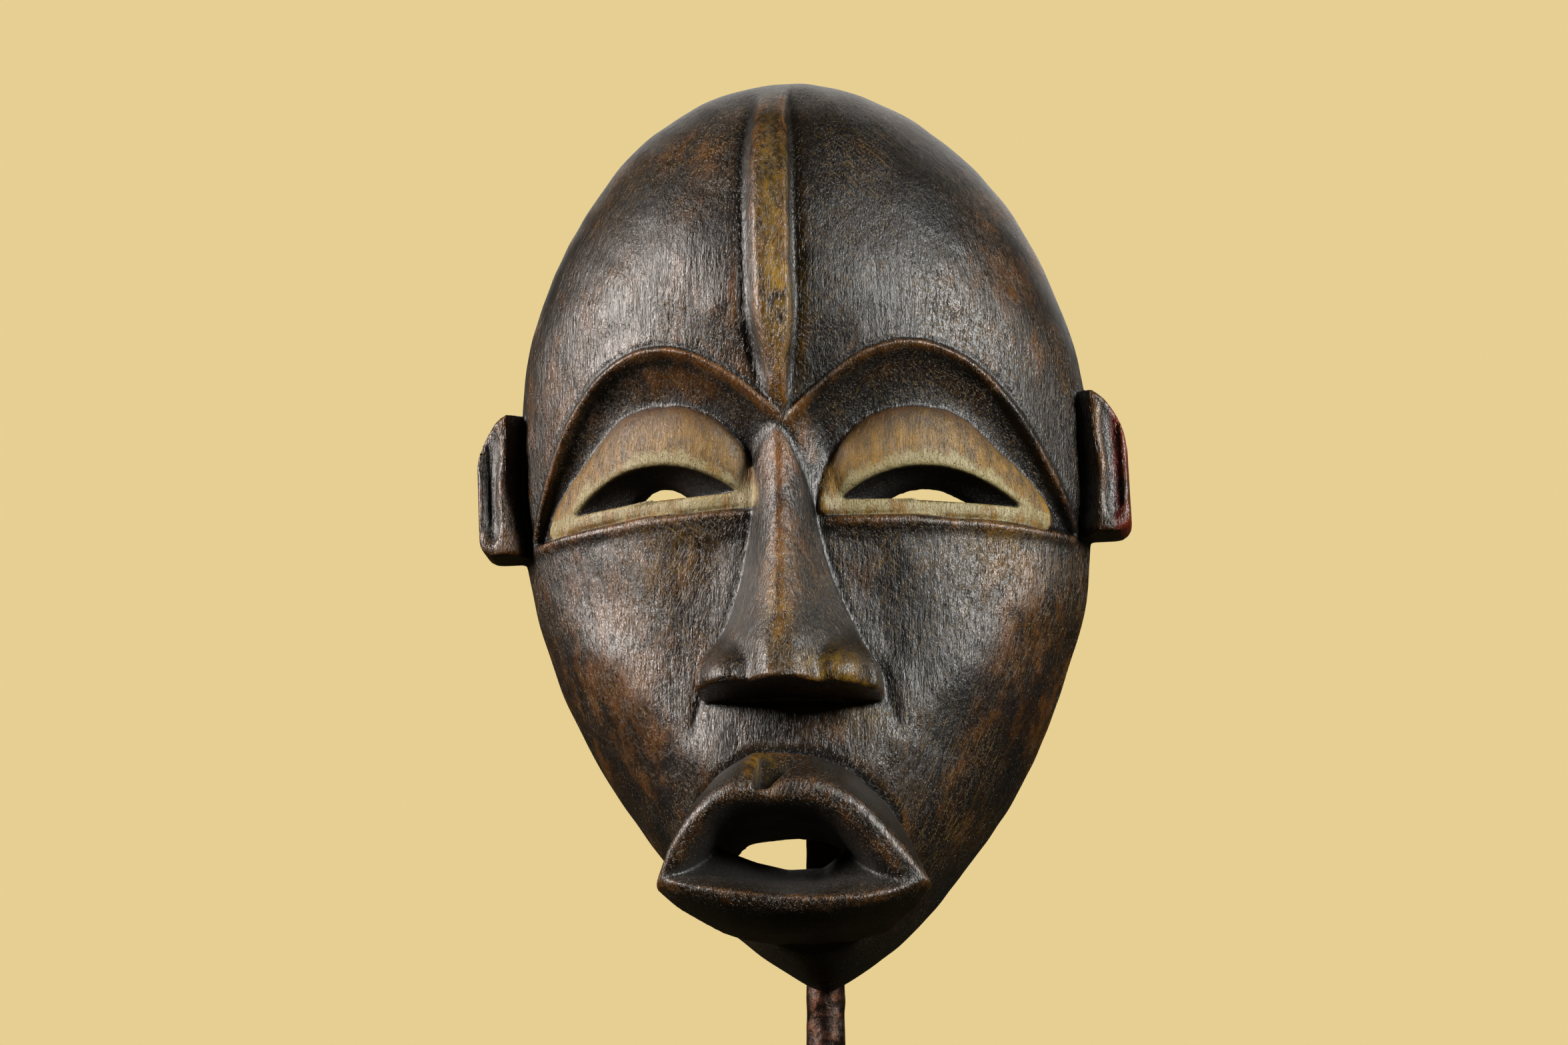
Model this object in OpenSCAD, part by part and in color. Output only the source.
// Carved wooden face mask on an iron display stand.
// The mask is one hollowed block of hardwood. It hangs on a felted iron saddle inside its forehead,
// and its chin leans on a felt ring round the upright rod. The rod turns in a socket on the base.
// The front of the mask looks along -Y, +Z is up, and the origin is the middle of the base's felt.

/* [Mask block] */
// Height of the mask from the chin to the crown
mask_h = 245; // [230:1:260]
// Half of the mask's width without the ears
mask_half_w = 76; // [70:0.5:82]
// Height of the widest place above the chin
widest_z = 140; // [132:1:148]
// Depth of the cheeks in front of the rim
cheek_depth = 46; // [42:0.5:50]
// How much further forward the forehead stands
forehead_rise = 9; // [6:0.5:12]
// Thickness of the wood at the rim
rim_wall = 8; // [6:0.5:10]
// Thickness of the wood behind the face
front_wall = 11; // [9:0.5:13]
// How far the mask leans sideways on its stand, in degrees
hang_roll = 2.4; // [0:0.1:3]

/* [Eyes and brow] */
// Distance of each eye's middle from the centre line
eye_x = 37.5; // [35:0.5:40]
// Height of the straight line under both eyes
eye_z = 117; // [114:0.5:120]
// Half of the length of a lid
lid_half_w = 28; // [25:0.5:30]
// Height of a lid
lid_h = 27; // [22:0.5:28]
// How far a lid swells out of its socket
lid_swell = 9; // [6:0.5:11]
// How deep the sockets are cut under the brow
socket_depth = 6; // [3:0.5:8]
// Half of the length of a slit
slit_half_w = 17; // [14:0.5:18]
// Height of a slit
slit_h = 8; // [6:0.5:9]

/* [Nose, mouth and ears] */
// Distance of the nose tip in front of the rim
nose_depth = 70; // [66:0.5:74]
// Height of the flat underside of the nose
nose_base_z = 68; // [65:0.5:70]
// Half of the width over the nostrils
nose_half_w = 23; // [20:0.5:25]
// Half of the width of the mouth
mouth_half_w = 35; // [32:0.5:37]
// Distance of the lips' front edge in front of the rim
lip_depth = 68; // [62:0.5:72]
// Half of the width of the hole through the mouth
mouth_hole_half_w = 14; // [11:0.5:16]
// Height of an ear
ear_h = 40; // [36:1:44]
// How far an ear stands out past the side of the head
ear_out = 9.5; // [8:0.5:12]
// Height of the keel along the forehead
keel_h = 3; // [2:0.5:4]

/* [Stand] */
// Height of the chin above the table
chin_z = 190; // [150:1:230]
// Diameter of the upright rod
rod_d = 11; // [10:0.5:12]
// Side of the square base plate
base_w = 130; // [120:1:160]
// Thickness of the base plate
base_t = 8; // [6:0.5:12]
// Thickness of the felt under the plate
felt_t = 3; // [2:0.5:4]
// Outer diameter of the rod socket
socket_d = 24; // [22:0.5:28]
// Height of the rod socket above the plate
socket_h = 34; // [30:1:45]
// Width of the flat crown arm
arm_w = 14; // [12:0.5:18]
// Length of the curved saddle inside the forehead
saddle_w = 40; // [34:1:46]

/* [Hidden] */
face_rows = 62;
face_columns = 46;
hollow_rows = 26;
hollow_columns = 26;
gap = 0.4;                                    // clear space between the mask and the stand
pad_t = 2;                                    // thickness of the felt that the mask touches
rod_r = rod_d / 2;
rim_y = -(rod_r + pad_t + gap);               // the mask's flat back
socket_z = felt_t + base_t;                   // top of the plate
rod_foot_z = socket_z + 10;                   // the rod's lower end, on the floor of its socket
run_clearance = 0.05;                         // radial play of the rod in the socket
bolt_r = 4;
bolt_head_r = 6.5;
bolt_head_h = 4;
bolt_length = 14;
washer_r = 8;
washer_t = 1;
recess_depth = bolt_head_h + washer_t + 0.5;  // counterbore under the plate
lock_z = socket_z + 24;                       // axis of the lock screw
lock_r = 3;
lock_knob_r = 8;
lock_knob_t = 9;
arm_t = 5;
arm_foot_h = 34;                              // upright leg of the arm, riveted to the rod
rivet_r = 2;
rivet_head_r = 3.6;
rivet_head_h = 1.6;
rivet_spacing = 16;
flat_depth = 2.5;                             // how deep the rod's top is flattened
arm_y = -rod_r + flat_depth;                  // back of the arm's upright leg
chin_x = 1.5;                                 // the leaning mask's chin is a little off the rod
touch_depth = 21;                             // where the saddle meets the inside of the crown
touch_z = 223.2;
touch_slope = 45;                             // slope of the wood there
crown_gap = 1;                                // clear space over the flat felt
saddle_d = 14;
saddle_t = 4;
saddle_bend_r = 62;                           // bend of the felt's outer face
saddle_shift = 4;                             // the saddle's middle, off the mask's centre line
ear_z = 135.5;                                // middle of an ear above the chin
ear_depth = 20;                               // how far the ear's front stands before the rim
lid_seat = 35;                                // depth of the middle of a lid's ellipsoid
lid_turn = 22;                                // the lids follow the face round to the sides
slit_lift = 2.5;                              // thickness of the bar under a slit
hole_z = 24.5;                                // lower edge of the hole through the mouth

// ---------- shape rules, in the mask's own frame: x to the side, depth towards the front ----------

function soft(t) = t <= 0 ? 0 : t >= 1 ? 1 : t * t * (3 - 2 * t);

// Half width of the outline: an ellipse over the widest place and a long egg below it.
function half_width(z) =
    let (up = (z - widest_z) / (mask_h - widest_z), down = (widest_z - z) / widest_z)
    z >= widest_z ? mask_half_w * sqrt(max(0, 1 - up * up))
                  : mask_half_w * pow(max(0, 1 - pow(down, 2.05)), 0.77);

// Depth of the centre line: a steep chin, flat cheeks, a fuller forehead and a round crown.
function centre_depth(z) =
    let (chin = 1 - pow(1 - min(z, 40) / 40, 6),
         crown = z > 165 ? sqrt(max(0, 1 - pow((z - 165) / (mask_h - 165), 2.4))) : 1)
    (cheek_depth + forehead_rise * soft((z - 110) / 60)) * chin * crown;

// Inside the socket of the eye this is below 1; the brow's edge is at 1.
function brow_ring(x, z) = norm([(abs(x) - 32) / 38, (z - eye_z) / 43]);

function socket_cut(x, z) =
    z < eye_z ? 0 : -socket_depth * soft((1.02 - brow_ring(x, z)) / 0.1) * soft((abs(x) - 7) / 6);

function keel(x, z) =
    let (wide = 7 * sin(180 * soft((z - 140) / 110)) + 1)
    keel_h * soft((wide - abs(x)) / 3) * soft((z - 142) / 12) * soft((236 - z) / 12);

function cheek_hollow(x, z) = -3 * soft((eye_z - z) / 25) * soft((z - 50) / 25) * soft((abs(x) - 8) / 10)
                                 * soft((48 - abs(x)) / 16);

function relief(x, z) = socket_cut(x, z) + keel(x, z) + cheek_hollow(x, z);

// One loop round the block at height z. Its last edge closes it along the flat back.
function face_loop(z, columns, w, d, back, carved) =
    [for (j = [0:columns])
        let (a = -90 + 180 * j / columns, x = w * sin(a), fade = soft(cos(a) * 3))
        [x, -(d * pow(max(0, cos(a)), 1.1) + (carved ? fade * relief(x, z) : 0)) + back, z]];

// Skin over a stack of loops that starts and ends in a point.
module skin(first, loops, last) {
    rows = len(loops);
    n = len(loops[0]);
    points = concat([first], [for (loop = loops, p = loop) p], [last]);
    low_fan = [for (j = [0:n - 1]) [0, 1 + j, 1 + (j + 1) % n]];
    walls = [for (i = [0:rows - 2], j = [0:n - 1], half = [0, 1])
        let (a = 1 + i * n + j, b = 1 + i * n + (j + 1) % n)
        half == 0 ? [a, a + n, b] : [b, a + n, b + n]];
    high_fan = [for (j = [0:n - 1])
        let (top = 1 + (rows - 1) * n)
        [1 + rows * n, top + (j + 1) % n, top + j]];
    polyhedron(points = points, faces = concat(low_fan, walls, high_fan), convexity = 8);
}

// Heights of the loops, closer together near both ends.
function stations(rows, low, high) =
    [for (i = [1:rows - 1]) let (t = i / rows) low + (high - low) * (t - sin(360 * t) / (2 * PI) * 0.55)];

// ---------- the mask ----------

module face_block() {
    skin([0, 0, 0],
         [for (z = stations(face_rows, 0, mask_h))
             face_loop(z, face_columns, half_width(z), centre_depth(z), 0, true)],
         [0, 0, mask_h]);
}

module hollow() {
    low = rim_wall + 5;
    high = mask_h - rim_wall;
    open_back = 3;
    grow = (mask_h - rim_wall * 2) / mask_h;
    skin([0, open_back, low],
         [for (z = stations(hollow_rows, low, high))
             let (outer = (z - low) / (high - low) * mask_h)
             face_loop(z, hollow_columns, half_width(outer) * (1 - rim_wall / mask_half_w),
                       max(4, centre_depth(outer) * grow - front_wall) + open_back, open_back, false)],
         [0, open_back, high]);
}

// A swollen lid, cut straight along the line under the eye.
module lid(side) {
    cut = 60;
    difference() {
        translate([side * eye_x, -lid_seat, eye_z]) rotate([0, 0, side * lid_turn])
            scale([lid_half_w, lid_swell + 3, lid_h]) sphere(r = 1, $fn = 28);
        translate([side * eye_x - cut / 2, -100, eye_z - cut]) cube([cut, 100, cut]);
    }
}

// Half-moon slit that narrows towards the back.
module slit(side) {
    hull() {
        translate([side * eye_x, -60, eye_z + slit_lift]) half_moon(slit_half_w, slit_h);
        translate([side * (eye_x - 3), -10, eye_z + slit_lift]) half_moon(slit_half_w - 4, slit_h - 1);
    }
}

module half_moon(half_w, high) {
    rotate([90, 0, 0]) linear_extrude(height = 0.5)
        intersection() {
            scale([half_w, high]) circle(r = 1, $fn = 24);
            translate([-half_w, 0]) square([2 * half_w, high]);
        }
}

module nose() {
    difference() {
        union() {
            hull() {
                translate([0, -47, 144]) sphere(r = 6, $fn = 16);
                translate([0, -(nose_depth - 9), nose_base_z + 11]) sphere(r = 9, $fn = 20);
                translate([-13, -40, nose_base_z + 10]) sphere(r = 8, $fn = 16);
                translate([13, -40, nose_base_z + 10]) sphere(r = 8, $fn = 16);
            }
            for (side = [-1, 1])
                hull() {
                    translate([side * (nose_half_w - 8), -50, nose_base_z + 7])
                        sphere(r = 8, $fn = 20);
                    translate([side * 8, -40, nose_base_z + 24]) sphere(r = 5, $fn = 14);
                }
        }
        translate([-50, -90, nose_base_z]) rotate([-12, 0, 0]) translate([0, -5, -30]) cube([100, 80, 30]);
    }
}

// Edge of the lips seen from the front: a high arch over a shallow one.
function lip_line(half_w, rise, drop, z) =
    concat([for (i = [0:12]) let (a = 180 - 15 * i) [half_w * cos(a), z + rise * pow(sin(a), 0.9)]],
           [for (i = [1:11]) let (a = -15 * i) [half_w * cos(a), z + drop * sin(a)]]);

module lip_slice(half_w, rise, drop, z, depth, thick) {
    translate([0, -depth + thick, 0]) rotate([90, 0, 0])
        linear_extrude(height = thick) polygon(lip_line(half_w, rise, drop, z));
}

module muzzle() {
    hull() {
        lip_slice(mouth_half_w - 3, 22, 8, 17, lip_depth, 1);
        lip_slice(mouth_half_w, 24, 10, 17, lip_depth - 6, 1);
        lip_slice(mouth_half_w - 3, 34, 13, 17, 38, 2);
    }
}

module mouth_funnel() {
    hull() {
        lip_slice(mouth_half_w - 6, 19, 7, 17, lip_depth + 1, 1);
        lip_slice(mouth_hole_half_w + 3, 11.5, 0.5, hole_z, 44, 1);
    }
    hull() {
        lip_slice(mouth_hole_half_w + 2, 11, 0.5, hole_z, 46, 1);
        lip_slice(mouth_hole_half_w, 11, 0.5, hole_z, 12, 1);
    }
}

module philtrum() {
    hull() {
        translate([0, -lip_depth - 2, 60]) cube([16, 2, 6], center = true);
        translate([0, -50, 55]) cube([10, 2, 8], center = true);
        translate([0, -lip_depth - 2, 37.5]) cube([1, 2, 1], center = true);
        translate([0, -54, 42]) cube([1, 2, 1], center = true);
    }
}

// An ear: a D-shaped block with a scooped front.
module ear(side) {
    mid = mask_half_w + ear_out;
    difference() {
        hull() {
            for (z = [-1, 1])
                translate([side * (mid - 9), 0, ear_z + z * (ear_h / 2 - 9)])
                    rotate([90, 0, 0]) cylinder(r = 9, h = ear_depth, $fn = 24);
            translate([side * (mask_half_w - 8) - 4, -ear_depth, ear_z - ear_h / 2])
                cube([8, ear_depth, ear_h]);
        }
        hull() {
            for (z = [-1, 1])
                translate([side * (mid - 8), -ear_depth - 2, ear_z + z * (ear_h / 2 - 10)])
                    sphere(r = 5.5, $fn = 16);
            translate([side * (mid - 6), -ear_depth - 2, ear_z]) sphere(r = 4.5, $fn = 16);
        }
    }
}

module mask_carving() {
    difference() {
        union() {
            face_block();
            nose();
            muzzle();
            for (side = [-1, 1]) {
                lid(side);
                ear(side);
            }
        }
        hollow();
        mouth_funnel();
        philtrum();
        for (side = [-1, 1]) slit(side);
    }
}

// The mask's own frame: its chin at the origin and its flat back in the plane y = 0.
module in_mask() {
    translate([chin_x, rim_y, chin_z]) rotate([0, -hang_roll, 0]) children();
}

module mask_body() {
    color([0.20, 0.11, 0.07])
        in_mask() mask_carving();
}

// ---------- the stand ----------

// A frame on the inside of the crown: z points out along the surface, x runs across it.
module in_crown() {
    in_mask() translate([0, -touch_depth, touch_z]) rotate([touch_slope, 0, 0])
        translate([0, 0, -crown_gap - saddle_bend_r]) children();
}

// A strip bent round the crown's own curve, between two radii.
module saddle_arc(inner, outer) {
    middle = asin(saddle_shift / saddle_bend_r);
    half_angle = asin(saddle_w / 2 / saddle_bend_r);
    in_crown() translate([0, saddle_d / 2, 0]) rotate([90, 0, 0])
        rotate([0, 0, 90 - middle - half_angle])
            rotate_extrude(angle = 2 * half_angle, $fn = 96)
                translate([inner, 0]) square([outer - inner, saddle_d]);
}

module crown_saddle() {
    color([0.16, 0.10, 0.08])
        saddle_arc(saddle_bend_r - pad_t - saddle_t, saddle_bend_r - pad_t);
}

module crown_felt() {
    color([0.10, 0.10, 0.09])
        saddle_arc(saddle_bend_r - pad_t, saddle_bend_r);
}

// Height where the arm bends forward, so that its slope ends square under the saddle.
arm_knee_z = chin_z + touch_z - touch_depth + rim_y - arm_y + arm_t * 0.7;
arm_leg_z = arm_knee_z - arm_foot_h;

// A flat iron strip, bent forward at 45 degrees and filed to the saddle's underside.
module crown_arm() {
    reach = 60;
    nip = arm_t * tan(touch_slope / 2);
    side = [[arm_y, arm_leg_z], [arm_y, arm_knee_z], [arm_y - reach, arm_knee_z + reach],
            [arm_y - reach - arm_t, arm_knee_z + reach - nip], [arm_y - arm_t, arm_knee_z - nip],
            [arm_y - arm_t, arm_leg_z]];
    color([0.17, 0.11, 0.09])
        difference() {
            intersection() {
                translate([arm_w / 2, 0, 0]) rotate([90, 0, -90])
                    linear_extrude(height = arm_w) polygon([for (p = side) [-p[0], p[1]]]);
                in_crown() translate([0, 45, 0]) rotate([90, 0, 0])
                    cylinder(r = saddle_bend_r - pad_t - saddle_t, h = 120, $fn = 96);
            }
            rivet_holes();
        }
}

module rivet_holes() {
    for (i = [0, 1])
        translate([0, rod_d, arm_leg_z + 9 + i * rivet_spacing]) rotate([90, 0, 0])
            cylinder(r = rivet_r, h = 3 * rod_d, $fn = 32);
}

module arm_rivets() {
    shank = rod_r - arm_y + arm_t;
    color([0.25, 0.20, 0.18])
        for (i = [0, 1])
            translate([0, rod_r, arm_leg_z + 9 + i * rivet_spacing]) rotate([90, 0, 0]) {
                cylinder(r = rivet_r, h = shank, $fn = 32);
                translate([0, 0, shank])
                    cylinder(r1 = rivet_head_r, r2 = rivet_head_r * 0.7, h = rivet_head_h, $fn = 32);
            }
}

module upright_rod() {
    color([0.17, 0.11, 0.09])
        difference() {
            translate([0, 0, rod_foot_z]) cylinder(r = rod_r, h = arm_knee_z - rod_foot_z, $fn = 64);
            translate([-rod_d, arm_y - rod_d, arm_leg_z]) cube([2 * rod_d, rod_d, arm_foot_h + 1]);
            rivet_holes();
        }
}

module chin_felt() {
    color([0.10, 0.10, 0.09])
        translate([0, 0, chin_z + 8]) difference() {
            cylinder(r = rod_r + pad_t, h = 9, $fn = 64);
            translate([0, 0, -1]) cylinder(r = rod_r, h = 11, $fn = 64);
        }
}

module rod_socket() {
    color([0.17, 0.11, 0.09])
        difference() {
            union() {
                translate([0, 0, socket_z]) cylinder(r = socket_d / 2, h = socket_h, $fn = 64);
                translate([0, 0, socket_z]) cylinder(r1 = socket_d / 2 + 4, r2 = socket_d / 2, h = 4, $fn = 64);
            }
            translate([0, 0, rod_foot_z]) cylinder(r = rod_r + run_clearance, h = socket_h, $fn = 64);
            translate([0, 0, socket_z - 1]) cylinder(r = bolt_r, h = bolt_length - 5, $fn = 48);
            translate([0, 0, lock_z]) rotate([-90, 0, 0]) cylinder(r = lock_r + 0.05, h = socket_d, $fn = 48);
        }
}

// A knurled thumb screw behind the socket; its tip ends just short of the rod.
module lock_screw() {
    tip_y = rod_r + 0.3;
    color([0.30, 0.24, 0.20])
        translate([0, tip_y, lock_z]) rotate([-90, 0, 0]) {
            cylinder(r = lock_r, h = socket_d / 2 + 2 - tip_y + lock_knob_t, $fn = 48);
            translate([0, 0, socket_d / 2 + 2 - tip_y]) difference() {
                cylinder(r = lock_knob_r, h = lock_knob_t, $fn = 64);
                for (i = [0:11])
                    rotate([0, 0, 30 * i]) translate([lock_knob_r + 0.6, 0, -1])
                        cylinder(r = 1.6, h = lock_knob_t + 2, $fn = 24);
            }
        }
}

module socket_bolt() {
    under = felt_t + recess_depth - washer_t;
    color([0.35, 0.33, 0.31])
        difference() {
            union() {
                translate([0, 0, under - bolt_head_h]) cylinder(r = bolt_head_r, h = bolt_head_h, $fn = 48);
                translate([0, 0, under]) cylinder(r = bolt_r, h = bolt_length - 3, $fn = 48);
            }
            translate([0, 0, under - bolt_head_h - 1]) cylinder(r = 3, h = 3.5, $fn = 6);
        }
}

module socket_washer() {
    color([0.40, 0.38, 0.36])
        translate([0, 0, felt_t + recess_depth - washer_t]) difference() {
            cylinder(r = washer_r, h = washer_t, $fn = 48);
            translate([0, 0, -1]) cylinder(r = bolt_r, h = washer_t + 2, $fn = 48);
        }
}

module base_plate() {
    half = base_w / 2;
    bevel = 1.5;
    outline = [[-half, -half], [half, -half], [half, half], [-half, half]];
    color([0.16, 0.10, 0.08])
        difference() {
            translate([0, 0, felt_t]) linear_extrude(height = base_t) polygon(outline);
            for (turn = [0:3])
                rotate([0, 0, 90 * turn]) translate([half, 0, felt_t + base_t]) rotate([0, 45, 0])
                    cube([bevel * sqrt(2), base_w + 2, bevel * sqrt(2)], center = true);
            translate([0, 0, felt_t - 1]) cylinder(r = washer_r + 0.5, h = recess_depth + 1, $fn = 48);
            translate([0, 0, felt_t]) cylinder(r = bolt_r, h = base_t + 1, $fn = 48);
        }
}

module base_felt() {
    inset = 2;
    color([0.08, 0.08, 0.08])
        translate([-base_w / 2 + inset, -base_w / 2 + inset, 0])
            cube([base_w - 2 * inset, base_w - 2 * inset, felt_t]);
}

mask_body();
crown_felt();
crown_saddle();
crown_arm();
arm_rivets();
upright_rod();
chin_felt();
rod_socket();
lock_screw();
socket_bolt();
socket_washer();
base_plate();
base_felt();
